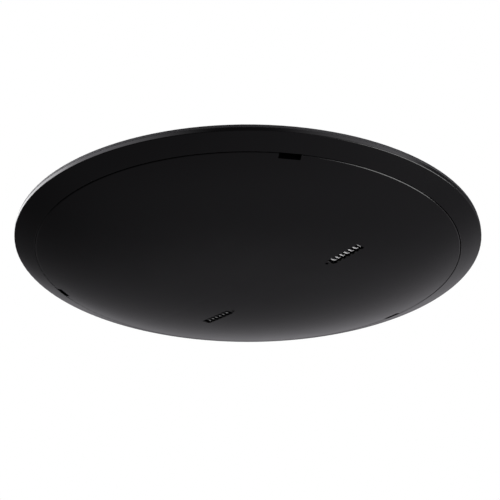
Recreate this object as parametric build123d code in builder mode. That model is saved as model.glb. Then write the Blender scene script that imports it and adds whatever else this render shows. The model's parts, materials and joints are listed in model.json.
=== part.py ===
"""Ceiling-mounted wireless access point: a shallow black dish, 240 mm across, on a cast rear housing.

Millimetres, +Z up. The origin is the centre of the ceiling bracket's top face, which lies on the
ceiling, so the whole unit hangs below Z = 0. The dish is symmetric about the YZ plane: one of its
three tool slots faces -Y, and the sockets for the network leads open towards +Y.
"""

import os
from math import cos, radians, sin

from build123d import *

# ---------------------------------------------------------------- driving dimensions
outer_r = 120.0  # radius of the side band
rim_z = -25.0  # lower edge of the side band
band_height = 3.4  # visible height of the side band
dish_depth = 13.2  # from the rim down to the dish's lowest point
wall = 2.2  # moulded wall of the dish and the trim ring
seam_r = 0.91 * outer_r  # circle where the dish cover meets the trim ring
seam_gap = 0.35
rim_round = 0.5  # outer lower edge of the trim ring
seam_round = 0.5  # edge of the cover along the seam
ring_round = 0.25  # edge of the ring along the seam

slot_angles = (-90, 30, 150)  # tool slots on the seam, and the latch behind each
slot_radii = (106.3, 109.6)
slot_width = 10.0

# vents: a comb of seven ribs in a long opening, and a small round hole at the end nearer the middle
vent_x = 49.9  # centre of the inner pad that carries a vent
vent_y = -20.6
vent_length = 21.8
vent_width = 5.2
vent_shift = 1.1  # centre of the opening, outward from the pad's centre
vent_round = 0.9
rib_count = 7
rib_width = 1.0
port_r = 0.9
port_at = (-11.6, -0.7)  # the small hole, from the pad's centre

# ---------------------------------------------------------------- levels, from the ceiling down
sheet = 1.5  # bracket sheet thickness
plate_z = -4.5  # top of the bracket's sunk centre
pan_z = -6.5  # top of the housing's raised bearing disc
deck_z = -9.0  # finned deck round the bearing disc
band_z = rim_z + band_height  # top of the side band
flange_z = -23.5  # underside of the housing's flange, where the trim ring is screwed on
board_z = -24.4  # top of the main board
board_t = 1.6
spacer_h = 2.5
reflector_z = board_z - board_t - spacer_h  # top of the antenna plate
reflector_t = 1.0
cast_wall = 2.2  # housing wall

# ---------------------------------------------------------------- plan sizes
bearing_r = 66.0
deck_r = 88.0
flange_in_r = 113.0
flange_out_r = 117.3
lip_r = 119.7
bracket_r = 64.0
bracket_sunk_r = 49.0
stud_ring_r = 42.0
stud_r = 2.0
twist = 18.0  # degrees from locked to free
screw_square = 84.0  # ceiling screws, centre to centre
ring_screw_r = 114.4
board_r = 70.0
board_front_y = 55.4
stack_ring_r = 63.0
stack_angles = (0, 50, 130, 180, 230, 310)

bay_half_x = 34.0
bay_y = (58.0, 94.0)
bay_wall = 2.0
jack_size = (16.0, 21.3, 13.0)
jack_xs = (-14.0, 4.0)
power_x = 19.5
reset_x = -27.0
reset_z = -18.0

latch_half_w = 4.0
latch_head_half_w = 11.0
latch_z = (-25.2, -23.8)
latch_head_low_z = -25.8
latch_head_r = (100.5, 106.5)
guide_r = (74.0, 96.5)
stem_end_r = 84.0
spring_wall_r = 76.0
spring_pocket_half_w = 2.3

gap = 0.1  # assembly clearance between fixed pieces
hair = 0.02  # clearance of a pressed pin in its hole

lock_angle = 215.0
lock_tooth_r = 43.0
lock_rivet_radii = (22.0, 29.0)
lock_rivet_r = 1.5

through = 10.0  # more than any sheet or wall that a hole is cut through


def dish_arc(start_r, end_r, lift=0.0):
    """Bezier points of the dish curve between two radii, raised by lift. They fit it exactly."""
    u, v = start_r / outer_r, end_r / outer_r
    step = (end_r - start_r) / 4
    depth = [dish_depth * (1 - u ** (4 - i) * v**i) for i in range(5)]
    return [(start_r + step * i, rim_z + lift - depth[i]) for i in range(5)]


def polar_plane(angle, z=0.0):
    """A level plane whose X runs outward at the angle, and whose Y runs round the unit."""
    outward = (cos(radians(angle)), sin(radians(angle)), 0)
    return Plane(origin=(0, 0, z), x_dir=outward, z_dir=(0, 0, 1))


def block(plane, x, y, z, mode=Mode.ADD):
    """A plain block between the x, y and z limits given, on the plane. It joins the open part."""
    size = (x[1] - x[0], y[1] - y[0], z[1] - z[0])
    middle = ((x[0] + x[1]) / 2, (y[0] + y[1]) / 2, (z[0] + z[1]) / 2)
    with Locations(plane.location * Pos(*middle)):
        Box(*size, mode=mode)


def span(middle, width):
    """The two limits of a width centred on the middle."""
    return (middle - width / 2, middle + width / 2)


def revolved(points):
    """A turned solid from a closed outline in the XZ plane. It joins the open part."""
    with BuildSketch(Plane.XZ) as outline:
        with BuildLine():
            Polyline(*points, close=True)
        make_face()
    revolve(outline.sketch, axis=Axis.Z)


def standing(radius, height, mode=Mode.ADD):
    """A cylinder that stands on the present location. It joins the open part."""
    Cylinder(radius, height, align=(Align.CENTER, Align.CENTER, Align.MIN), mode=mode)


def room_above(lift):
    """All the room above the dish's outer face once that face is raised by lift."""
    with BuildPart() as room:
        with BuildSketch(Plane.XZ):
            with BuildLine():
                face = Bezier(*dish_arc(0, outer_r, lift))
                Polyline(face @ 1, (outer_r, band_z), (0, band_z), face @ 0)
            make_face()
        revolve(axis=Axis.Z)
    return room.part


def save(piece, name):
    """Labels a finished piece and writes its STEP file."""
    piece.part.label = name
    export_step(piece.part, f"parts/{name}.step")


os.makedirs("parts", exist_ok=True)

# ================================================================ ceiling bracket
bracket_hole_r = 15.0
slope_run = 4.0
slope_shift = (0.67, 4.67)  # where the sloping wall's lower face meets the two levels
notch_size = (44.0, 50.0)
notch_y = 36.0  # inner end of the notch for the leads
notch_round = 8.0
keyhole_r = 4.6
ceiling_hole_r = 2.4
leaf_t = 0.5
leaf_half_w = 3.6
tooth_half = (1.7, 2.1)  # the lock spring's tooth: half its length outward, half its width
tooth_low_z = -8.2
lock = polar_plane(lock_angle)

with BuildPart() as ceiling_bracket:
    revolved(
        [
            (bracket_hole_r, plate_z),
            (bracket_sunk_r, plate_z),
            (bracket_sunk_r + slope_run, 0),
            (bracket_r, 0),
            (bracket_r, -sheet),
            (bracket_sunk_r + slope_shift[1], -sheet),
            (bracket_sunk_r + slope_shift[0], plate_z - sheet),
            (bracket_hole_r, plate_z - sheet),
        ]
    )
    # the side towards the sockets is cut away for the leads
    with BuildSketch(Plane.XY) as lead_notch:
        with Locations((0, notch_y + notch_size[1] / 2)):
            RectangleRounded(*notch_size, notch_round)
    extrude(amount=-through, mode=Mode.SUBTRACT)
    # bayonet slots: a stud enters at the round end and turns to the narrow end
    for angle in slot_angles:
        with BuildSketch(polar_plane(angle)) as keyhole:
            with BuildLine(mode=Mode.PRIVATE):
                track = CenterArc((0, 0), stud_ring_r, 0, twist)
            SlotArc(track, 2 * (stud_r + 0.25))
            with PolarLocations(stud_ring_r, 1, twist):
                Circle(keyhole_r)
        extrude(amount=-through, mode=Mode.SUBTRACT)
    with BuildSketch(Plane.XY) as ceiling_holes:
        with GridLocations(screw_square, screw_square, 2, 2):
            Circle(ceiling_hole_r)
    extrude(amount=-through, mode=Mode.SUBTRACT)
    # window for the lock spring's tooth, and its two rivets
    with BuildSketch(lock) as lock_window:
        with Locations((lock_tooth_r, 0)):
            Rectangle(2 * tooth_half[0] + 1.8, 2 * tooth_half[1] + 2.2)
        with Locations(*[(r, 0) for r in lock_rivet_radii]):
            Circle(lock_rivet_r + hair)
    extrude(amount=-through, mode=Mode.SUBTRACT)
save(ceiling_bracket, "ceiling_bracket")

with BuildPart() as lock_spring:
    leaf_top = plate_z + leaf_t
    block(lock, (18.5, lock_tooth_r + 3), span(0, 2 * leaf_half_w), (plate_z, leaf_top))
    tooth_x = span(lock_tooth_r, 2 * tooth_half[0])
    block(lock, tooth_x, span(0, 2 * tooth_half[1]), (tooth_low_z, leaf_top))
    with BuildSketch(lock) as rivet_holes:
        with Locations(*[(r, 0) for r in lock_rivet_radii]):
            Circle(lock_rivet_r + hair)
    extrude(amount=-through, mode=Mode.SUBTRACT)
    # the tooth's tip is bevelled, so that a firm twist lifts it
    tooth_tip = lock_spring.edges().group_by(Axis.Z)[0]
    chamfer(tooth_tip, 0.9)
save(lock_spring, "lock_spring")

rivet_head = (2.4, 0.9)  # radius, height
with BuildPart() as lock_rivets:
    for rivet_r in lock_rivet_radii:
        with Locations(lock.location * Pos(rivet_r, 0, plate_z - sheet)):
            standing(lock_rivet_r, sheet + leaf_t)
        with Locations(lock.location * Pos(rivet_r, 0, plate_z + leaf_t)):
            standing(*rivet_head)
    fillet(lock_rivets.edges().group_by(Axis.Z)[-1], 0.6)
save(lock_rivets, "lock_rivets")

# ================================================================ rear housing
# the cone's inner face: its outer face moved square to itself by the wall
cone_drop = deck_z - band_z
cone_run = flange_in_r - deck_r
cone_length = (cone_drop**2 + cone_run**2) ** 0.5
inner_cone_r = deck_r - cast_wall * cone_drop / cone_length
inner_cone_z = deck_z - cast_wall * cone_run / cone_length
inner_deck_z = deck_z - cast_wall
inner_deck_r = inner_cone_r + (inner_cone_z - inner_deck_z) * cone_run / cone_drop
inner_flange_r = inner_cone_r + (inner_cone_z - flange_z) * cone_run / cone_drop
lip_z = -23.0
disc_slope = 1.5  # run of the bearing disc's sloping edge
roof_z = pan_z - 1  # inside the bearing disc's wall, where posts and pads take root

with BuildPart() as housing_envelope:
    revolved(
        [
            (0, deck_z),
            (deck_r, deck_z),
            (flange_in_r, band_z),
            (flange_in_r, -40),
            (0, -40),
        ]
    )

with BuildPart() as lead_bay:
    block(
        Plane.XY,
        (-bay_half_x - bay_wall, bay_half_x + bay_wall),
        (bay_y[0] - bay_wall, bay_y[1] + bay_wall),
        (board_z - 1.8, deck_z),
    )
    add(housing_envelope.part, mode=Mode.INTERSECT)

fin_count = 60
fin_outer_r = 85.5
fin_width = 1.6
fin_angles = [360 / fin_count * i for i in range(fin_count)]
# no fins where the bay for the leads opens, nor beside the security slot
fin_angles = [a for a in fin_angles if abs(a - 90) > 33 and abs(a - 180) > 7]

post_r = 3.5
stack_hole_r = 1.55
stack_hole_depth = 8.0
cpu_y = 14.0  # middle of the processor
cpu_pad_z = -21.1
radio_at = (27.0, -14.0)  # middle of each radio, to either side
radio_pad_size = (26.0, 20.0)
radio_pad_z = -19.5
power_window = (9.2, 11.1)
reset_hole_r = 1.75
screw_hole_r = 1.35
screw_sink_r = 2.5
lock_pocket_half = (2.1, 2.5)
lock_pocket_depth = 2.0
security_slot_x = (-102.5, -99.3)
security_slot_width = 7.0

with BuildPart() as rear_housing:
    revolved(
        [
            (0, pan_z),
            (bearing_r, pan_z),
            (bearing_r + disc_slope, deck_z),
            (deck_r, deck_z),
            (flange_in_r, band_z),
            (lip_r, band_z),
            (lip_r, lip_z),
            (flange_out_r, lip_z),
            (flange_out_r, flange_z),
            (inner_flange_r, flange_z),
            (inner_deck_r, inner_deck_z),
            (bearing_r, inner_deck_z),
            (bearing_r - disc_slope, pan_z - cast_wall),
            (0, pan_z - cast_wall),
        ]
    )
    add(lead_bay.part)
    for angle in fin_angles:
        fin_x = (bearing_r, fin_outer_r)
        block(polar_plane(angle), fin_x, span(0, fin_width), (deck_z - 0.5, pan_z))
    # posts that carry the board and the antenna plate
    for angle in stack_angles:
        with Locations(polar_plane(angle).location * Pos(stack_ring_r, 0, board_z)):
            standing(post_r, roof_z - board_z)
    # pads that reach down to the processor and to the two shielded radios
    block(Plane.XY, span(0, 21), span(cpu_y, 21), (cpu_pad_z, roof_z))
    for side in (-1, 1):
        pad_x = span(side * radio_at[0], radio_pad_size[0])
        pad_y = span(radio_at[1], radio_pad_size[1])
        block(Plane.XY, pad_x, pad_y, (radio_pad_z, roof_z))
    # the bay's open inside, cut down through the deck and the bearing disc
    bay_x = (-bay_half_x, bay_half_x)
    block(Plane.XY, bay_x, bay_y, (board_z, 0), mode=Mode.SUBTRACT)
    # windows in the bay's inner wall for the sockets and the reset button
    bay_wall_y = (bay_y[0] - bay_wall - 1, bay_y[0] + 0.5)
    for x in jack_xs:
        window_x = span(x, jack_size[0] + 2 * gap)
        window_z = (board_z, board_z + jack_size[2] + gap)
        block(Plane.XY, window_x, bay_wall_y, window_z, mode=Mode.SUBTRACT)
    window_x = span(power_x, power_window[0])
    window_z = (board_z, board_z + power_window[1])
    block(Plane.XY, window_x, bay_wall_y, window_z, mode=Mode.SUBTRACT)
    with BuildSketch(Plane.XZ.offset(-bay_wall_y[0])) as reset_hole:
        with Locations((reset_x, reset_z)):
            Circle(reset_hole_r)
    extrude(amount=-2 * bay_wall, mode=Mode.SUBTRACT)
    # blind holes for the stack screws, from below
    for angle in stack_angles:
        with Locations(polar_plane(angle).location * Pos(stack_ring_r, 0, board_z)):
            standing(stack_hole_r, stack_hole_depth, mode=Mode.SUBTRACT)
    # countersunk holes in the flange for the ring screws
    with Locations((0, 0, band_z)):
        with PolarLocations(ring_screw_r, 6):
            CounterSinkHole(radius=screw_hole_r, counter_sink_radius=screw_sink_r, depth=3)
    # pressed-in studs, and the pocket that the lock spring's tooth drops into
    for angle in slot_angles:
        with Locations(polar_plane(angle).location * Pos(stud_ring_r, 0, pan_z)):
            Cylinder(stud_r + hair, through, mode=Mode.SUBTRACT)
    pocket_x = span(lock_tooth_r, 2 * lock_pocket_half[0])
    pocket_z = (pan_z - lock_pocket_depth, pan_z + 1)
    block(lock, pocket_x, span(0, 2 * lock_pocket_half[1]), pocket_z, mode=Mode.SUBTRACT)
    # security slot in the sloping wall, for a cable lock
    slot_y = span(0, security_slot_width)
    block(Plane.XY, security_slot_x, slot_y, (-22, -8), mode=Mode.SUBTRACT)
save(rear_housing, "rear_housing")

stud_head = (4.0, 1.6)  # radius, height
with BuildPart() as mounting_studs:
    for angle in slot_angles:
        stud_at = polar_plane(angle).location * Pos(stud_ring_r, 0, 0)
        with Locations(stud_at * Pos(0, 0, pan_z - cast_wall)):
            standing(stud_r, 5.0)
        with Locations(stud_at * Pos(0, 0, plate_z + 0.2)):
            standing(*stud_head)
    fillet(mounting_studs.edges().group_by(Axis.Z)[-1], 0.6)
save(mounting_studs, "mounting_studs")

# ================================================================ trim ring
ring_in_r = seam_r + seam_gap / 2
ring_wall_r = flange_out_r + 0.3
ring_top_z = lip_z - 0.2
ledge_r = (103.5, 112.0)
ledge_low = wall + 0.15  # the ledge lies just behind the cover's edge
ledge_high = ledge_low + 1.5
boss_r = 3.0
boss_low_z = -26.0
pilot_r = 1.25
pilot_depth = 2.6

with BuildPart() as trim_ring:
    with BuildSketch(Plane.XZ) as ring_profile:
        with BuildLine():
            face = Bezier(*dish_arc(ring_in_r, outer_r))
            back = Bezier(*dish_arc(ring_wall_r, ledge_r[1], wall))
            ledge_top = Bezier(*dish_arc(ledge_r[1], ledge_r[0], ledge_high))
            ledge_under = Bezier(*dish_arc(ledge_r[0], ring_in_r, ledge_low))
            Polyline(face @ 1, (outer_r, ring_top_z), (ring_wall_r, ring_top_z), back @ 0)
            Line(back @ 1, ledge_top @ 0)
            Line(ledge_top @ 1, ledge_under @ 0)
            Line(ledge_under @ 1, face @ 0)
        make_face()
        rim_corner = ring_profile.vertices().sort_by(Axis.X)[-2:].sort_by(Axis.Y)[0]
        fillet(rim_corner, rim_round)
        seam_corner = ring_profile.vertices().sort_by(Axis.Y)[0]
        fillet(seam_corner, ring_round)
    revolve(axis=Axis.Z)
    with Locations((0, 0, boss_low_z)):
        with PolarLocations(ring_screw_r, 6):
            standing(boss_r, flange_z - boss_low_z)
    with Locations((0, 0, flange_z)):
        with PolarLocations(ring_screw_r, 6):
            Hole(pilot_r, depth=pilot_depth)
    # the tool slots run up through the ledge
    for angle in slot_angles:
        slot_y = span(0, slot_width)
        block(polar_plane(angle), slot_radii, slot_y, (-40, -20), mode=Mode.SUBTRACT)
save(trim_ring, "trim_ring")

flat_head_r = 2.4
flat_shank_r = 1.2
cross_size = (3.0, 0.6, 0.7)  # cross recess: length, width, depth
with BuildPart() as flat_screw:
    revolved(
        [
            (0, band_z),
            (flat_head_r, band_z),
            (flat_shank_r, band_z - flat_shank_r),
            (flat_shank_r, boss_low_z),
            (0, boss_low_z),
        ]
    )
    with Locations((0, 0, band_z)):
        Box(cross_size[0], cross_size[1], 2 * cross_size[2], mode=Mode.SUBTRACT)
        Box(cross_size[1], cross_size[0], 2 * cross_size[2], mode=Mode.SUBTRACT)
with BuildPart() as ring_screws:
    with PolarLocations(ring_screw_r, 6):
        add(flat_screw.part)
save(ring_screws, "ring_screws")

# ================================================================ dish cover
cover_r = seam_r - seam_gap / 2
pad_z = -34.2  # level pads inside the cover, under the vent inserts
pad_size = (31.0, 11.0)
rib_ring_r = (101.0, 102.5)  # locating rib, just inside the ring's ledge
rib_ring_top_z = -27.2
guide_top_z = -22.4
guide_half_w = 7.0
guide_floor_z = latch_z[0] - gap
guide_lip_z = -23.6
spring_pocket_low_z = -26.8


def vent_plane(side, z=0.0):
    """A level plane at a vent. X runs outward. The two vents are alike, turned half round."""
    return Plane(origin=(side * vent_x, vent_y, z), x_dir=(side, 0, 0), z_dir=(0, 0, 1))


with BuildPart() as cover_fittings:
    with BuildSketch(Plane.XZ) as rib_ring:
        with Locations((sum(rib_ring_r) / 2, rib_ring_top_z)):
            Rectangle(rib_ring_r[1] - rib_ring_r[0], 4.8, align=(Align.CENTER, Align.MAX))
    revolve(axis=Axis.Z)
    for side in (-1, 1):
        with Locations(vent_plane(side, pad_z).location):
            Box(*pad_size, 6, align=(Align.CENTER, Align.CENTER, Align.MAX))
    for angle in slot_angles:
        latch_at = polar_plane(angle)
        block(latch_at, guide_r, span(0, 2 * guide_half_w), (-37, guide_top_z))
        # channel for the latch's stem, open at the top between two lips
        channel_x = (spring_wall_r, guide_r[1] + 1)
        stem_y = span(0, 2 * latch_half_w + 0.4)
        block(latch_at, channel_x, stem_y, (guide_floor_z, guide_lip_z), mode=Mode.SUBTRACT)
        block(latch_at, channel_x, span(0, 6), (-24, guide_top_z), mode=Mode.SUBTRACT)
        spring_x = (spring_wall_r, stem_end_r + 0.2)
        spring_y = span(0, 2 * spring_pocket_half_w)
        block(latch_at, spring_x, spring_y, (spring_pocket_low_z, -24), mode=Mode.SUBTRACT)
    add(room_above(wall / 2), mode=Mode.INTERSECT)

with BuildPart() as dish_cover:
    with BuildSketch(Plane.XZ) as cover_profile:
        with BuildLine():
            outer_face = Bezier(*dish_arc(0, cover_r))
            inner_face = Bezier(*dish_arc(cover_r, 0, wall))
            Line(outer_face @ 1, inner_face @ 0)
            Line(inner_face @ 1, outer_face @ 0)
        make_face()
    revolve(axis=Axis.Z)
    seam_edge = dish_cover.edges().filter_by(GeomType.CIRCLE).group_by(Axis.Z)[0]
    fillet(seam_edge, seam_round)
    add(cover_fittings.part)
    for side in (-1, 1):
        with BuildSketch(vent_plane(side, -30)) as vent_opening:
            with Locations((vent_shift, 0)):
                RectangleRounded(vent_length, vent_width, vent_round)
            with Locations(port_at):
                Circle(port_r)
        extrude(amount=-12, mode=Mode.SUBTRACT)
    for angle in slot_angles:
        slot_y = span(0, slot_width)
        block(polar_plane(angle), slot_radii, slot_y, (-40, -26), mode=Mode.SUBTRACT)
save(dish_cover, "dish_cover")

# ================================================================ vents
insert_size = (28.0, 8.4, 1.0)
rib_lift = 1.2  # how far the ribs stay inside the dish's face
rib_pitch = vent_length / rib_count
rib_root_y = -vent_width / 2 + 0.1
rib_tip_y = 1.9
rib_low_z = -38.5  # before the ribs are trimmed to follow the dish's face
hook_size = (0.7, 0.7)  # each rib's tip is hooked outward
mesh_size = (26.0, 6.4, 0.3)

for number, side in enumerate((-1, 1), start=1):
    vent_at = vent_plane(side)
    with BuildPart() as vent_insert:
        with Locations(vent_plane(side, pad_z).location):
            Box(*insert_size, align=(Align.CENTER, Align.CENTER, Align.MIN))
        opening_x = span(vent_shift, vent_length - 0.4)
        opening_z = (pad_z - 0.5, pad_z + 1.5)
        block(vent_at, opening_x, span(0, vent_width - 0.4), opening_z, mode=Mode.SUBTRACT)
        with Locations(vent_plane(side, pad_z - 0.5).location * Pos(*port_at, 0)):
            standing(port_r - 0.2, 2.0, mode=Mode.SUBTRACT)
        # each rib stands on a bridge across the opening, and its hooked tip stops short of the far side
        for i in range(rib_count):
            rib_x = vent_shift + rib_pitch * (i - (rib_count - 1) / 2)
            across = span(rib_x, rib_width)
            block(vent_at, across, (rib_root_y, -rib_root_y), (pad_z, pad_z + 1.0))
            block(vent_at, across, (rib_root_y, rib_tip_y), (rib_low_z, pad_z + 1.0))
            hook_x = (rib_x, rib_x + rib_width / 2 + hook_size[0])
            hook_y = (rib_tip_y - hook_size[1], rib_tip_y)
            block(vent_at, hook_x, hook_y, (rib_low_z, pad_z + 0.5))
        add(room_above(rib_lift), mode=Mode.INTERSECT)
    save(vent_insert, f"vent_insert_{number}")
    with BuildPart() as vent_mesh:
        with Locations(vent_plane(side, pad_z + insert_size[2]).location):
            Box(*mesh_size, align=(Align.CENTER, Align.CENTER, Align.MIN))
    save(vent_mesh, f"vent_mesh_{number}")

# ================================================================ cover latches
peg_r = 1.0
peg_length = 2.5
wire_r = 0.3
spring_r = 1.7
spring_turns = 4
latch_mid_z = (latch_z[0] + latch_z[1]) / 2

for number, angle in enumerate(slot_angles, start=1):
    latch_at = polar_plane(angle)
    with BuildPart() as cover_latch:
        stem_x = (stem_end_r, latch_head_r[0] + 1)
        block(latch_at, stem_x, span(0, 2 * latch_half_w), latch_z)
        head_z = (latch_head_low_z, latch_z[1])
        block(latch_at, latch_head_r, span(0, 2 * latch_head_half_w), head_z)
        head_corners = cover_latch.edges().filter_by(Axis.Z).group_by(SortBy.LENGTH)[-1]
        fillet(head_corners, 1.0)
        peg_root = latch_at.from_local_coords((stem_end_r, 0, latch_mid_z))
        with BuildSketch(Plane(origin=peg_root, z_dir=-latch_at.x_dir)):
            Circle(peg_r)
        extrude(amount=peg_length)
    save(cover_latch, f"cover_latch_{number}")
    with BuildPart() as latch_spring:
        spring_height = stem_end_r - spring_wall_r - 2 * wire_r - 0.1
        foot = latch_at.from_local_coords((spring_wall_r + wire_r + 0.05, 0, latch_mid_z))
        with BuildLine():
            pitch = spring_height / spring_turns
            coil = Helix(pitch, spring_height, spring_r, foot, latch_at.x_dir)
        with BuildSketch(Plane(origin=coil @ 0, z_dir=coil % 0)):
            Circle(wire_r)
        sweep(path=coil, is_frenet=True)
    save(latch_spring, f"latch_spring_{number}")

# ================================================================ main board
stack_clear_r = 1.65

with BuildPart() as main_board:
    with BuildSketch(Plane.XY.offset(board_z - board_t)) as board_outline:
        Circle(board_r)
        with Locations((0, board_front_y + board_r)):
            Rectangle(3 * board_r, 2 * board_r, mode=Mode.SUBTRACT)
        for angle in stack_angles:
            with PolarLocations(stack_ring_r, 1, angle):
                Circle(stack_clear_r, mode=Mode.SUBTRACT)
    extrude(amount=board_t)
save(main_board, "main_board")

on_board = Plane.XY.offset(board_z)
chip_t = 1.6
lid_t = 0.8
with BuildPart() as processor:
    block(on_board, span(0, 21), span(cpu_y, 21), (0, chip_t))
    block(on_board, span(0, 15), span(cpu_y, 15), (chip_t, chip_t + lid_t))
save(processor, "processor")

memory_size = (12.0, 9.0, 1.2)
with BuildPart() as memory_chips:
    with Locations((-18.5, 12, board_z), (18.5, 12, board_z), (-18.5, 24, board_z)):
        Box(*memory_size, align=(Align.CENTER, Align.CENTER, Align.MIN))
save(memory_chips, "memory_chips")

shield_size = (34.0, 28.0, 4.0)
shield_wall = 0.4
with BuildPart() as radio_shields:
    for side in (-1, 1):
        shield_at = on_board.location * Pos(side * radio_at[0], radio_at[1], 0)
        inside = [size - 2 * shield_wall for size in shield_size[:2]]
        with Locations(shield_at):
            Box(*shield_size, align=(Align.CENTER, Align.CENTER, Align.MIN))
            Box(
                *inside,
                shield_size[2] - shield_wall,
                align=(Align.CENTER, Align.CENTER, Align.MIN),
                mode=Mode.SUBTRACT,
            )
save(radio_shields, "radio_shields")

pad_t = 0.9
with BuildPart() as thermal_pads:
    cpu_top = chip_t + lid_t
    block(on_board, span(0, 17), span(cpu_y, 17), (cpu_top, cpu_top + pad_t))
    for side in (-1, 1):
        pad_x = span(side * radio_at[0], 24)
        pad_y = span(radio_at[1], 18)
        block(on_board, pad_x, pad_y, (shield_size[2], shield_size[2] + pad_t))
save(thermal_pads, "thermal_pads")

with BuildPart() as poe_transformer:
    coil_x, coil_y = 34, 20
    block(on_board, span(coil_x, 13.5), span(coil_y, 13), (0, 2.0))
    block(on_board, span(coil_x, 9), span(coil_y, 15), (0, 10.5))
    block(on_board, span(coil_x, 13.5), span(coil_y, 11), (0, 10.5))
save(poe_transformer, "poe_transformer")

can_size = (4.0, 10.0)  # radius, height
with BuildPart() as capacitors:
    with Locations((-33, 16, board_z), (-33, 26, board_z), (-43, 21, board_z)):
        standing(*can_size)
    fillet(capacitors.edges().group_by(Axis.Z)[-1], 0.6)
save(capacitors, "capacitors")

# ================================================================ sockets and reset
socket_face_y = bay_y[0] + 0.3
mouth_size = (11.9, 14.5, 6.9)
mouth_z = board_z + 3.4
keyway_size = (6.2, 14.5, 2.4)
keyway_z = board_z + 1.2
contact_size = (0.45, 10.5, 0.6)
contact_pitch = 1.02
from_face = (Align.CENTER, Align.MAX, Align.MIN)

for number, x in enumerate(jack_xs, start=1):
    with BuildPart() as ethernet_jack:
        with Locations((x, socket_face_y, board_z)):
            Box(*jack_size, align=from_face)
        # the mouth: a wide bay for the plug and a keyway for its latch
        with Locations((x, socket_face_y, mouth_z)):
            Box(*mouth_size, align=from_face, mode=Mode.SUBTRACT)
        with Locations((x, socket_face_y, keyway_z)):
            Box(*keyway_size, align=from_face, mode=Mode.SUBTRACT)
    save(ethernet_jack, f"ethernet_jack_{number}")
    with BuildPart() as jack_contacts:
        # eight sprung wires lie along the mouth's roof
        with Locations((x, socket_face_y - 3.0, mouth_z + mouth_size[2])):
            with GridLocations(contact_pitch, 0, 8, 1):
                Box(*contact_size, align=(Align.CENTER, Align.MAX, Align.MAX))
    save(jack_contacts, f"jack_contacts_{number}")

power_body = (9.0, 14.0, 11.0)
power_mouth_r = 3.2
power_pin_r = 1.0
with BuildPart() as power_jack:
    with Locations((power_x, socket_face_y, board_z)):
        Box(*power_body, align=from_face)
    with BuildSketch(Plane.XZ.offset(-socket_face_y)):
        with Locations((power_x, board_z + 6.2)):
            Circle(power_mouth_r)
            Circle(power_pin_r, mode=Mode.SUBTRACT)
    extrude(amount=9.5, mode=Mode.SUBTRACT)
save(power_jack, "power_jack")

# the reset button from the front: its cap, a flange behind the wall, and its plunger
reset_steps = ((bay_y[0] - 0.3, 1.65, 2.0), (bay_y[0] - 2.3, 2.6, 0.6), (bay_y[0] - 2.9, 1.1, 2.4))
with BuildPart() as reset_button:
    for step_y, step_r, step_length in reset_steps:
        with BuildSketch(Plane.XZ.offset(-step_y)):
            with Locations((reset_x, reset_z)):
                Circle(step_r)
        extrude(amount=step_length)
save(reset_button, "reset_button")

switch_y = 53.6
with BuildPart() as reset_switch:
    with Locations((reset_x, switch_y, board_z)):
        Box(6.2, 4.2, 9.5, align=from_face)
    with BuildSketch(Plane.XZ.offset(-switch_y)):
        with Locations((reset_x, reset_z)):
            Circle(1.2)
    extrude(amount=2.6, mode=Mode.SUBTRACT)
save(reset_switch, "reset_switch")

# ================================================================ antenna plate and its stack
antenna_spots = [(52, a) for a in (20, 60, 100, 140, 250, 290)] + [(25, 0), (25, 180)]
antenna_low_z = -33.6
antenna_sheet = 0.5
antenna_half = (4.5, 9.0)  # half its width outward, half its length round the unit
feed_y = -3.0
feed_r = 0.5
feed_hole_r = 1.3
plate_low_z = reflector_z - reflector_t
feed_z = plate_low_z - 0.5
air_hole_r = 1.6
air_pitch = 5.0

with BuildPart() as antenna_plate:
    with BuildSketch(Plane.XY.offset(plate_low_z)) as plate_outline:
        Circle(board_r + 1)
        for angle in stack_angles:
            with PolarLocations(stack_ring_r, 1, angle):
                Circle(stack_clear_r, mode=Mode.SUBTRACT)
        # air holes over the two vents
        for side in (-1, 1):
            with Locations((side * vent_x, vent_y)):
                with GridLocations(air_pitch, air_pitch, 4, 2):
                    Circle(air_hole_r, mode=Mode.SUBTRACT)
        for spot_r, angle in antenna_spots:
            with Locations(polar_plane(angle).location * Pos(spot_r, feed_y, 0)):
                Circle(feed_hole_r, mode=Mode.SUBTRACT)
    extrude(amount=reflector_t)
save(antenna_plate, "antenna_plate")

# each antenna is bent from sheet: a plate, a grounded end wall and a short feed leg
with BuildPart() as antennas:
    for spot_r, angle in antenna_spots:
        spot_at = polar_plane(angle)
        radial = span(spot_r, 2 * antenna_half[0])
        plate_y = span(0, 2 * antenna_half[1])
        block(spot_at, radial, plate_y, (antenna_low_z, antenna_low_z + antenna_sheet))
        wall_y = (plate_y[0], plate_y[0] + antenna_sheet)
        block(spot_at, radial, wall_y, (antenna_low_z, plate_low_z))
        block(spot_at, span(spot_r, 1.6), span(feed_y, antenna_sheet), (antenna_low_z, feed_z))
save(antennas, "antennas")

with BuildPart() as feed_pins:
    for spot_r, angle in antenna_spots:
        with Locations(polar_plane(angle).location * Pos(spot_r, feed_y, feed_z)):
            standing(feed_r, board_z - board_t - feed_z)
save(feed_pins, "feed_pins")

spacer_r = 3.2
with BuildPart() as plate_spacers:
    for angle in stack_angles:
        with Locations(polar_plane(angle).location * Pos(stack_ring_r, 0, reflector_z)):
            standing(spacer_r, spacer_h)
            standing(stack_clear_r, spacer_h, mode=Mode.SUBTRACT)
save(plate_spacers, "plate_spacers")

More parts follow.
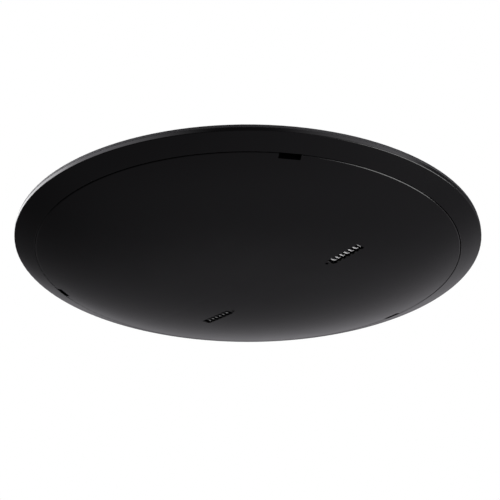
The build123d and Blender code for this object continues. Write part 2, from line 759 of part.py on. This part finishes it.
pan_head = (2.8, 1.8)  # radius, height
pan_shank_r = 1.5
pan_tip_z = -17.0
pan_cross = (3.2, 0.7, 0.9)  # cross recess: length, width, depth
with BuildPart() as pan_screw:
    with Locations((0, 0, plate_low_z)):
        standing(pan_shank_r, pan_tip_z - plate_low_z)
        Cylinder(*pan_head, align=(Align.CENTER, Align.CENTER, Align.MAX))
    fillet(pan_screw.edges().group_by(Axis.Z)[0], 0.6)
    with Locations((0, 0, plate_low_z - pan_head[1])):
        Box(pan_cross[0], pan_cross[1], 2 * pan_cross[2], mode=Mode.SUBTRACT)
        Box(pan_cross[1], pan_cross[0], 2 * pan_cross[2], mode=Mode.SUBTRACT)
with BuildPart() as stack_screws:
    for angle in stack_angles:
        with Locations(polar_plane(angle).location * Pos(stack_ring_r, 0, 0)):
            add(pan_screw.part)
save(stack_screws, "stack_screws")
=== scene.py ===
import json
import math

import bpy
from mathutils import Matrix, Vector

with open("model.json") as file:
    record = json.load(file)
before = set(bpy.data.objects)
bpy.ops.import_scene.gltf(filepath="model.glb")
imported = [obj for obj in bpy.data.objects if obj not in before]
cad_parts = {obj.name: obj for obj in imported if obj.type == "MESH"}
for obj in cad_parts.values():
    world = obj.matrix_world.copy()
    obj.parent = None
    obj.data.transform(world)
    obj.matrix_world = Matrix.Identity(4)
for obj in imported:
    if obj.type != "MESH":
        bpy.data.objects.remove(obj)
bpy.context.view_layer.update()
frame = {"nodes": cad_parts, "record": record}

nodes = frame["nodes"]

# Looks of a ceiling-mounted wireless access point. Metres, +Z up, as in the CAD frame: the ceiling
# is Z = 0 and the unit hangs below it. The camera stands below the dish and looks up at it.

VENT_PAINTED_SHADE_Y = -0.0217  # painted shade: on the +X vent, the ribs past this line are painted near black as if in shadow, and only their roots stay white
PAINTED_SHADE_FLANK_Z = (-0.7, -0.4)  # a face's normal from looking down to standing up, over which the painted shade on the vent ribs' flanks fades in


# ---------------------------------------------------------------- node helpers
class Shader:
    """A new node material with one Principled shader, and short ways to feed its sockets."""

    def __init__(self, name, **constants):
        self.material = bpy.data.materials.new(name)
        self.material.use_nodes = True
        self.tree = self.material.node_tree
        self.tree.nodes.clear()
        output = self.tree.nodes.new("ShaderNodeOutputMaterial")
        self.shader = self.tree.nodes.new("ShaderNodeBsdfPrincipled")
        self.link(self.shader.outputs["BSDF"], output.inputs["Surface"])
        for socket, value in constants.items():
            self.set(socket, value)
        self.coordinates = self.tree.nodes.new("ShaderNodeTexCoord").outputs["Object"]
        self.normal = None

    def set(self, socket, value):
        self.shader.inputs[socket].default_value = value

    def link(self, source, target):
        self.tree.links.new(source, target)

    def noise(self, size, detail=2.0, stretch=(1, 1, 1)):
        """Noise whose blobs are about size metres across, as a 0 to 1 value."""
        mapping = self.tree.nodes.new("ShaderNodeMapping")
        mapping.inputs["Scale"].default_value = stretch
        self.link(self.coordinates, mapping.inputs["Vector"])
        texture = self.tree.nodes.new("ShaderNodeTexNoise")
        texture.inputs["Scale"].default_value = 1.0 / size
        texture.inputs["Detail"].default_value = detail
        self.link(mapping.outputs["Vector"], texture.inputs["Vector"])
        return texture.outputs["Fac"]

    def span(self, source, low, high, source_low=0.3, source_high=0.7):
        """Maps the source's middle range to low..high."""
        node = self.tree.nodes.new("ShaderNodeMapRange")
        node.inputs["From Min"].default_value = source_low
        node.inputs["From Max"].default_value = source_high
        node.inputs["To Min"].default_value = low
        node.inputs["To Max"].default_value = high
        self.link(source, node.inputs["Value"])
        return node.outputs["Result"]

    def tint(self, source, dark, light):
        """Mixes two colours by the source and feeds the base colour."""
        mix = self.tree.nodes.new("ShaderNodeMix")
        mix.data_type = "RGBA"
        mix.inputs["A"].default_value = (*dark, 1.0)
        mix.inputs["B"].default_value = (*light, 1.0)
        self.link(source, mix.inputs["Factor"])
        self.link(mix.outputs["Result"], self.shader.inputs["Base Color"])

    def overlay(self, mask, color):
        """Lays a second colour over the base colour where the mask is 1."""
        below = self.shader.inputs["Base Color"].links[0].from_socket
        mix = self.tree.nodes.new("ShaderNodeMix")
        mix.data_type = "RGBA"
        self.link(below, mix.inputs["A"])
        mix.inputs["B"].default_value = (*color, 1.0)
        self.link(mask, mix.inputs["Factor"])
        self.link(mix.outputs["Result"], self.shader.inputs["Base Color"])

    def painted_shade_flanks(self):
        """Painted shade mask: 1 on faces that stand upright or look up, and 0 on faces that look
        down, so rib flanks are painted dark as shade.
        """
        split = self.tree.nodes.new("ShaderNodeSeparateXYZ")
        normal = self.tree.nodes.new("ShaderNodeTexCoord").outputs["Normal"]
        self.link(normal, split.inputs["Vector"])
        return self.span(split.outputs["Z"], 0, 1, *PAINTED_SHADE_FLANK_Z)

    def painted_shade_tips(self):
        """Painted shade: 1 on the ribs of the +X vent, from the end of their white roots to their
        tips, which are painted dark as if in shadow.
        """
        split = self.tree.nodes.new("ShaderNodeSeparateXYZ")
        self.link(self.coordinates, split.inputs["Vector"])
        past_root = self.math("GREATER_THAN", split.outputs["Y"], VENT_PAINTED_SHADE_Y)
        return self.math("MULTIPLY", past_root, self.math("GREATER_THAN", split.outputs["X"], 0.0))

    def cells(self, size, output="COLOR"):
        """Irregular cells about size metres across: a value each, or how far from the middle."""
        texture = self.tree.nodes.new("ShaderNodeTexVoronoi")
        texture.inputs["Scale"].default_value = 1.0 / size
        self.link(self.coordinates, texture.inputs["Vector"])
        if output == "DISTANCE":
            return texture.outputs["Distance"]
        split = self.tree.nodes.new("ShaderNodeSeparateColor")
        self.link(texture.outputs["Color"], split.inputs["Color"])
        return split.outputs["Red"]

    def threads(self, direction, pitch):
        """Parallel ridges across the direction, one to each pitch, as a 0 to 1 value."""
        texture = self.tree.nodes.new("ShaderNodeTexWave")
        texture.bands_direction = direction
        texture.inputs["Scale"].default_value = math.pi / (10 * pitch)
        self.link(self.coordinates, texture.inputs["Vector"])
        return texture.outputs["Fac"]

    def math(self, operation, first, second):
        node = self.tree.nodes.new("ShaderNodeMath")
        node.operation = operation
        for socket, value in zip(node.inputs, (first, second)):
            if isinstance(value, float):
                socket.default_value = value
            else:
                self.link(value, socket)
        return node.outputs["Value"]

    def soften(self, radius):
        """Rounds the look of hard edges by the radius."""
        node = self.tree.nodes.new("ShaderNodeBevel")
        node.samples = 4
        node.inputs["Radius"].default_value = radius
        self.normal = node.outputs["Normal"]
        self.link(self.normal, self.shader.inputs["Normal"])

    def roughen(self, source, low, high):
        self.link(self.span(source, low, high), self.shader.inputs["Roughness"])

    def bump(self, source, depth, strength=1.0):
        """Adds a layer of relief, depth metres deep, on top of any layer before it."""
        node = self.tree.nodes.new("ShaderNodeBump")
        node.inputs["Strength"].default_value = strength
        node.inputs["Distance"].default_value = depth
        self.link(source, node.inputs["Height"])
        if self.normal is not None:
            self.link(self.normal, node.inputs["Normal"])
        self.normal = node.outputs["Normal"]
        self.link(self.normal, self.shader.inputs["Normal"])


def black_plastic():
    """Satin black moulding: a fine spark-eroded grain, and a faint unevenness of the gloss."""
    s = Shader("satin_black_plastic")
    s.tint(s.span(s.noise(0.05), 0, 1), (0.0009, 0.0007, 0.0011), (0.0012, 0.001, 0.0014))
    s.roughen(s.noise(0.018, 3), 0.2, 0.23)
    s.bump(s.noise(0.0003, 2), 0.000006, 0.5)
    return s.material


def latch_plastic():
    s = Shader("matt_black_acetal")
    s.tint(s.noise(0.003), (0.005, 0.005, 0.0052), (0.008, 0.008, 0.0083))
    s.roughen(s.noise(0.004), 0.48, 0.62)
    s.bump(s.noise(0.0006), 0.00002, 0.5)
    return s.material


def vent_plastic():
    """Ribs white underneath, in one vent only at their roots; their flanks and that vent's tips are
    painted near black as shade.
    """
    s = Shader("white_ribs_painted_shade")
    s.tint(s.span(s.noise(0.004), 0, 1), (0.8, 0.8, 0.8), (0.88, 0.88, 0.88))
    # painted shade: rib flanks, and the +X vent's ribs past their roots, are painted near black as
    # if in shadow
    for mask in (s.painted_shade_tips(), s.painted_shade_flanks()):
        s.overlay(mask, (0.012, 0.012, 0.013))
    s.roughen(s.noise(0.002), 0.3, 0.42)
    s.bump(s.noise(0.0004), 0.00001, 0.4)
    return s.material


def vent_fabric():
    """Black acoustic mesh: two sets of threads that cross."""
    s = Shader("woven_mesh", Roughness=0.85)
    weave = s.math("MULTIPLY", s.threads("X", 0.0004), s.threads("Y", 0.0004))
    s.tint(weave, (0.002, 0.002, 0.002), (0.012, 0.012, 0.012))
    s.bump(weave, 0.00008)
    return s.material


def cast_housing():
    """Dark powder coat over a die casting: an orange-peel skin with finer grit on it."""
    s = Shader("dark_powder_coat")
    s.tint(s.span(s.noise(0.012, 4), 0, 1), (0.019, 0.019, 0.021), (0.027, 0.027, 0.029))
    s.roughen(s.noise(0.0015, 3), 0.42, 0.58)
    s.soften(0.0004)
    s.bump(s.noise(0.0013, 3), 0.00005, 0.7)
    s.bump(s.noise(0.0003, 2), 0.00002, 0.5)
    return s.material


def plated_steel():
    """Zinc-plated sheet: faint spangle, and fine rolling lines."""
    s = Shader("zinc_plate", Metallic=1.0)
    spangle = s.cells(0.007)
    lines = s.noise(0.0012, 2, stretch=(1, 0.02, 1))
    sheen = s.math("ADD", s.span(spangle, 0, 0.6, 0, 1), s.span(lines, 0, 0.4))
    s.tint(sheen, (0.47, 0.48, 0.5), (0.63, 0.63, 0.63))
    s.roughen(s.noise(0.01, 4), 0.26, 0.44)
    s.soften(0.0002)
    s.bump(lines, 0.00001, 0.6)
    return s.material


def spring_steel():
    s = Shader("spring_steel", Metallic=1.0)
    s.tint(s.noise(0.003, 3), (0.36, 0.36, 0.37), (0.5, 0.5, 0.5))
    s.roughen(s.noise(0.001, 3), 0.18, 0.36)
    s.bump(s.noise(0.0003), 0.000008, 0.6)
    return s.material


def fastener_steel():
    s = Shader("plated_screw_steel", Metallic=1.0)
    s.tint(s.noise(0.002, 3), (0.43, 0.43, 0.44), (0.57, 0.57, 0.56))
    s.roughen(s.noise(0.0012, 3), 0.2, 0.38)
    s.soften(0.0001)
    s.bump(s.noise(0.0004), 0.000008, 0.6)
    return s.material


def circuit_board():
    """Green solder mask: tracks show as raised, lighter lines, with tinned vias between."""
    s = Shader("green_solder_mask")
    track_pitch, track_share = 0.0016, 0.62
    across = s.math("GREATER_THAN", s.threads("X", track_pitch), track_share)
    along = s.math("GREATER_THAN", s.threads("Y", track_pitch), track_share)
    choose = s.math("GREATER_THAN", s.noise(0.012, 0), 0.5)
    other = s.math("SUBTRACT", 1.0, choose)
    tracks = s.math("ADD", s.math("MULTIPLY", across, choose), s.math("MULTIPLY", along, other))
    routed = s.math("GREATER_THAN", s.noise(0.02, 1), 0.47)
    tracks = s.math("MULTIPLY", tracks, routed)
    via_spacing, via_radius = 0.0034, 0.13  # the radius is in spacings
    vias = s.math("LESS_THAN", s.cells(via_spacing, "DISTANCE"), via_radius)
    s.tint(tracks, (0.006, 0.05, 0.02), (0.02, 0.14, 0.055))
    s.overlay(vias, (0.6, 0.58, 0.5))
    s.link(vias, s.shader.inputs["Metallic"])
    s.roughen(s.noise(0.004), 0.22, 0.34)
    s.bump(tracks, 0.00003, 0.6)
    return s.material


def chip_black():
    s = Shader("moulded_epoxy")
    s.tint(s.noise(0.002, 3), (0.015, 0.015, 0.017), (0.028, 0.028, 0.03))
    s.roughen(s.noise(0.0008, 3), 0.42, 0.62)
    s.bump(s.noise(0.0002), 0.000015, 0.6)
    return s.material


def tinned_steel():
    s = Shader("tin_plate", Metallic=1.0)
    s.tint(s.noise(0.008, 4), (0.54, 0.54, 0.52), (0.68, 0.68, 0.66))
    s.roughen(s.noise(0.004, 4), 0.2, 0.42)
    s.soften(0.00025)
    s.bump(s.noise(0.0009, 3, stretch=(1, 0.1, 1)), 0.000012, 0.6)
    return s.material


def thermal_rubber():
    s = Shader("silicone_pad")
    s.tint(s.noise(0.003, 3), (0.27, 0.31, 0.37), (0.37, 0.41, 0.47))
    s.roughen(s.noise(0.001), 0.72, 0.9)
    s.bump(s.noise(0.0005), 0.00003, 0.7)
    return s.material


def ferrite():
    """Dark sintered block, a little uneven in tone."""
    s = Shader("sintered_ferrite")
    s.tint(s.noise(0.0025, 3), (0.022, 0.022, 0.024), (0.04, 0.04, 0.042))
    s.roughen(s.noise(0.002), 0.4, 0.62)
    s.soften(0.0003)
    s.bump(s.noise(0.0004), 0.00002, 0.6)
    return s.material


def capacitor_can():
    s = Shader("drawn_can", Metallic=1.0)
    s.tint(s.noise(0.002, 2, stretch=(1, 1, 0.05)), (0.52, 0.52, 0.54), (0.68, 0.68, 0.7))
    s.roughen(s.noise(0.001, 2, stretch=(1, 1, 0.05)), 0.18, 0.34)
    s.bump(s.noise(0.0005, 2, stretch=(1, 1, 0.05)), 0.000008, 0.6)
    return s.material


def contact_gold():
    s = Shader("gold_flash", Metallic=1.0)
    s.tint(s.noise(0.002), (0.76, 0.55, 0.2), (0.88, 0.68, 0.3))
    s.roughen(s.noise(0.001), 0.16, 0.3)
    return s.material


def socket_plastic():
    s = Shader("moulded_nylon")
    s.tint(s.noise(0.002), (0.016, 0.016, 0.018), (0.026, 0.026, 0.028))
    s.roughen(s.noise(0.001), 0.38, 0.55)
    s.soften(0.0002)
    s.bump(s.noise(0.0005), 0.000015, 0.5)
    return s.material


def reflector_aluminium():
    """Rolled aluminium: long fine lines the way it was rolled."""
    s = Shader("rolled_aluminium", Metallic=1.0)
    lines = s.noise(0.0008, 3, stretch=(1, 0.02, 1))
    s.tint(lines, (0.64, 0.64, 0.65), (0.78, 0.78, 0.79))
    s.roughen(s.noise(0.006, 3, stretch=(1, 0.1, 1)), 0.22, 0.4)
    s.bump(lines, 0.00001, 0.6)
    return s.material


def antenna_brass():
    s = Shader("tarnished_brass", Metallic=1.0)
    s.tint(s.noise(0.004, 4), (0.55, 0.4, 0.2), (0.78, 0.61, 0.35))
    s.roughen(s.noise(0.002, 3), 0.24, 0.48)
    s.bump(s.noise(0.0006, 2, stretch=(1, 0.1, 1)), 0.00001, 0.6)
    return s.material


def spacer_brass():
    s = Shader("turned_brass", Metallic=1.0)
    s.tint(s.noise(0.0012, 2, stretch=(0.1, 0.1, 1)), (0.64, 0.48, 0.22), (0.78, 0.62, 0.34))
    s.roughen(s.noise(0.0008), 0.18, 0.34)
    s.bump(s.noise(0.0004, 2, stretch=(0.05, 0.05, 1)), 0.00001, 0.6)
    return s.material


MATERIALS = (
    black_plastic,
    latch_plastic,
    vent_plastic,
    vent_fabric,
    cast_housing,
    plated_steel,
    spring_steel,
    fastener_steel,
    circuit_board,
    chip_black,
    tinned_steel,
    thermal_rubber,
    ferrite,
    capacitor_can,
    contact_gold,
    socket_plastic,
    reflector_aluminium,
    antenna_brass,
    spacer_brass,
)

slot_of = {row["node"]: row["material_slot"] for row in frame["record"]["subparts"]}
made = {make.__name__: make() for make in MATERIALS}
for name, node in nodes.items():
    node.data.materials.clear()
    node.data.materials.append(made[slot_of[name]])

# ---------------------------------------------------------------- camera
RIM_CENTRE = Vector((0, 0, -0.025))  # level with the side band's lower edge
AZIMUTH = math.radians(230.2)
DROP = math.radians(26.4)  # how far below the rim's plane the camera stands
DISTANCE = 0.6
LENS, SENSOR = 82.8, 36.0
AIM_RIGHT, AIM_UP = 0.0011, 0.0027  # the frame's middle, from the rim's centre


def outward(azimuth, elevation):
    """The direction at these angles, in radians. Azimuth 0 is toward -Y, and it turns toward +X."""
    level = math.cos(elevation)
    return Vector((math.sin(azimuth) * level, -math.cos(azimuth) * level, math.sin(elevation)))


def look(thing, toward):
    """Turns a camera or a light to face along a direction."""
    thing.rotation_mode = "QUATERNION"
    thing.rotation_quaternion = toward.to_track_quat("-Z", "Y")


def add_camera():
    back = outward(AZIMUTH, -DROP)
    turn = (-back).to_track_quat("-Z", "Y")
    right, up = turn @ Vector((1, 0, 0)), turn @ Vector((0, 1, 0))
    camera = bpy.data.objects.new("camera", bpy.data.cameras.new("camera"))
    bpy.context.scene.collection.objects.link(camera)
    camera.location = RIM_CENTRE + back * DISTANCE
    look(camera, RIM_CENTRE + right * AIM_RIGHT + up * AIM_UP - camera.location)
    camera.data.lens = LENS
    camera.data.sensor_width = SENSOR
    camera.data.clip_start, camera.data.clip_end = 0.01, 100.0
    bpy.context.scene.camera = camera


# ---------------------------------------------------------------- studio
# Light from the room by direction. A ramp runs from one value to another of how far the direction
# points up, to the camera's right or away behind the unit, and gives the light at its two ends.
ROOM_RIGHT = (-0.6, 0.5, 0.045, 0.14)  # the dim room, lighter on the right
ROOM_ABOVE = (0.05, 0.3, 1.0, 0.6)
ROOM_BELOW = (-0.5, -0.8, 0.0, 0.06)
GLOW_HEIGHT = (-0.48, 0.0, 0.0, 0.34)  # the pale glow low behind the unit
GLOW_RIGHT = (-0.5, 0.05, 0.1, 1.0)
GLOW_BEHIND = (0.0, 0.6, 0.0, 1.0)
GLOW_TOP = (0.1, 0.35, 1.0, 0.0)
EDGE_HEIGHT = (-0.15, 0.03, 0.0, 0.2)  # a thin line of it that goes on to the left
EDGE_LEFT = (-0.05, -0.3, 0.0, 1.0)
WALL_HEIGHT = (0.1, 0.4, 0.0, 1.0)  # two bright walls, seen only in the side band
LEFT_WALL = (-0.2, -0.95, 0.0, 1.9)
RIGHT_WALL = (0.15, 0.85, 0.0, 1.3)
RIGHT_WALL_FRONT = (-0.2, 0.1, 1.0, 0.0)

# softboxes: azimuth from the camera to its right and elevation in degrees, distance, width and
# height in metres, and radiance
SOFTBOXES = {
    "left_box": (-122, 22, 1.5, 1.5, 0.9, 1.9),
    "right_panel": (78, -27, 1.5, 1.3, 1.2, 5.0),
    "top_box": (20, 78, 1.6, 1.2, 1.2, 1.5),
}


def add_world():
    """White to the eye. To the unit it is a dim room, with a pale glow low behind the unit."""
    world = bpy.data.worlds.new("studio")
    bpy.context.scene.world = world
    world.use_nodes = True
    tree = world.node_tree
    tree.nodes.clear()
    link = tree.links.new
    direction = tree.nodes.new("ShaderNodeTexCoord").outputs["Generated"]

    def toward(vector):
        node = tree.nodes.new("ShaderNodeVectorMath")
        node.operation = "DOT_PRODUCT"
        node.inputs[1].default_value = vector
        link(direction, node.inputs[0])
        return node.outputs["Value"]

    def ramp(source, limits):
        node = tree.nodes.new("ShaderNodeMapRange")
        node.interpolation_type = "SMOOTHSTEP"
        for name, value in zip(("From Min", "From Max", "To Min", "To Max"), limits):
            node.inputs[name].default_value = value
        link(source, node.inputs["Value"])
        return node.outputs["Result"]

    def combine(operation, first, second):
        node = tree.nodes.new("ShaderNodeMath")
        node.operation = operation
        link(first, node.inputs[0])
        link(second, node.inputs[1])
        return node.outputs["Value"]

    height = toward((0, 0, 1))
    right = toward((math.cos(AZIMUTH), math.sin(AZIMUTH), 0))
    behind = toward((-math.sin(AZIMUTH), math.cos(AZIMUTH), 0))
    room = combine("MULTIPLY", ramp(right, ROOM_RIGHT), ramp(height, ROOM_ABOVE))
    room = combine("ADD", room, ramp(height, ROOM_BELOW))
    glow = combine("MULTIPLY", ramp(height, GLOW_HEIGHT), ramp(right, GLOW_RIGHT))
    edge = combine("MULTIPLY", ramp(height, EDGE_HEIGHT), ramp(right, EDGE_LEFT))
    glow = combine("ADD", glow, edge)
    glow = combine("MULTIPLY", glow, ramp(behind, GLOW_BEHIND))
    glow = combine("MULTIPLY", glow, ramp(height, GLOW_TOP))
    left_wall = combine("MULTIPLY", ramp(right, LEFT_WALL), ramp(height, WALL_HEIGHT))
    right_wall = combine("MULTIPLY", ramp(right, RIGHT_WALL), ramp(height, WALL_HEIGHT))
    right_wall = combine("MULTIPLY", right_wall, ramp(behind, RIGHT_WALL_FRONT))
    level = combine("ADD", combine("ADD", room, glow), combine("ADD", left_wall, right_wall))

    output = tree.nodes.new("ShaderNodeOutputWorld")
    seen = tree.nodes.new("ShaderNodeBackground")
    seen.inputs["Color"].default_value = (1, 1, 1, 1)
    felt = tree.nodes.new("ShaderNodeBackground")
    felt.inputs["Color"].default_value = (1.0, 0.975, 1.03, 1)
    link(level, felt.inputs["Strength"])
    mix = tree.nodes.new("ShaderNodeMixShader")
    link(tree.nodes.new("ShaderNodeLightPath").outputs["Is Camera Ray"], mix.inputs["Fac"])
    link(felt.outputs["Background"], mix.inputs[1])
    link(seen.outputs["Background"], mix.inputs[2])
    link(mix.outputs["Shader"], output.inputs["Surface"])


def add_softbox(name, azimuth, elevation, distance, width, tall, radiance):
    """A soft light aimed at the unit. The camera doesn't see it."""
    away = outward(AZIMUTH + math.radians(azimuth), math.radians(elevation))
    data = bpy.data.lights.new(name, "AREA")
    data.shape = "RECTANGLE"
    data.size, data.size_y = width, tall
    data.energy = radiance * math.pi * width * tall
    light = bpy.data.objects.new(name, data)
    bpy.context.scene.collection.objects.link(light)
    light.location = RIM_CENTRE + away * distance
    look(light, -away)
    light.visible_camera = False


def add_floor():
    """A pale floor far below. It is only there to be seen: it throws no light back at the unit."""
    half, depth = 12.0, -1.2
    mesh = bpy.data.meshes.new("floor")
    quarters = ((-1, -1), (1, -1), (1, 1), (-1, 1))
    mesh.from_pydata([(x * half, y * half, depth) for x, y in quarters], [], [(0, 1, 2, 3)])
    floor = bpy.data.objects.new("floor", mesh)
    bpy.context.scene.collection.objects.link(floor)
    s = Shader("pale_floor", Roughness=0.9)
    s.tint(s.noise(0.6), (0.28, 0.28, 0.28), (0.31, 0.31, 0.305))
    s.set("Emission Color", (1, 1, 1, 1))
    s.set("Emission Strength", 0.55)
    mesh.materials.append(s.material)
    floor.visible_glossy = False
    floor.visible_diffuse = False
    floor.visible_shadow = False


add_camera()
add_world()
for name, placing in SOFTBOXES.items():
    add_softbox(name, *placing)
add_floor()
bpy.context.scene.view_settings.view_transform = "Standard"
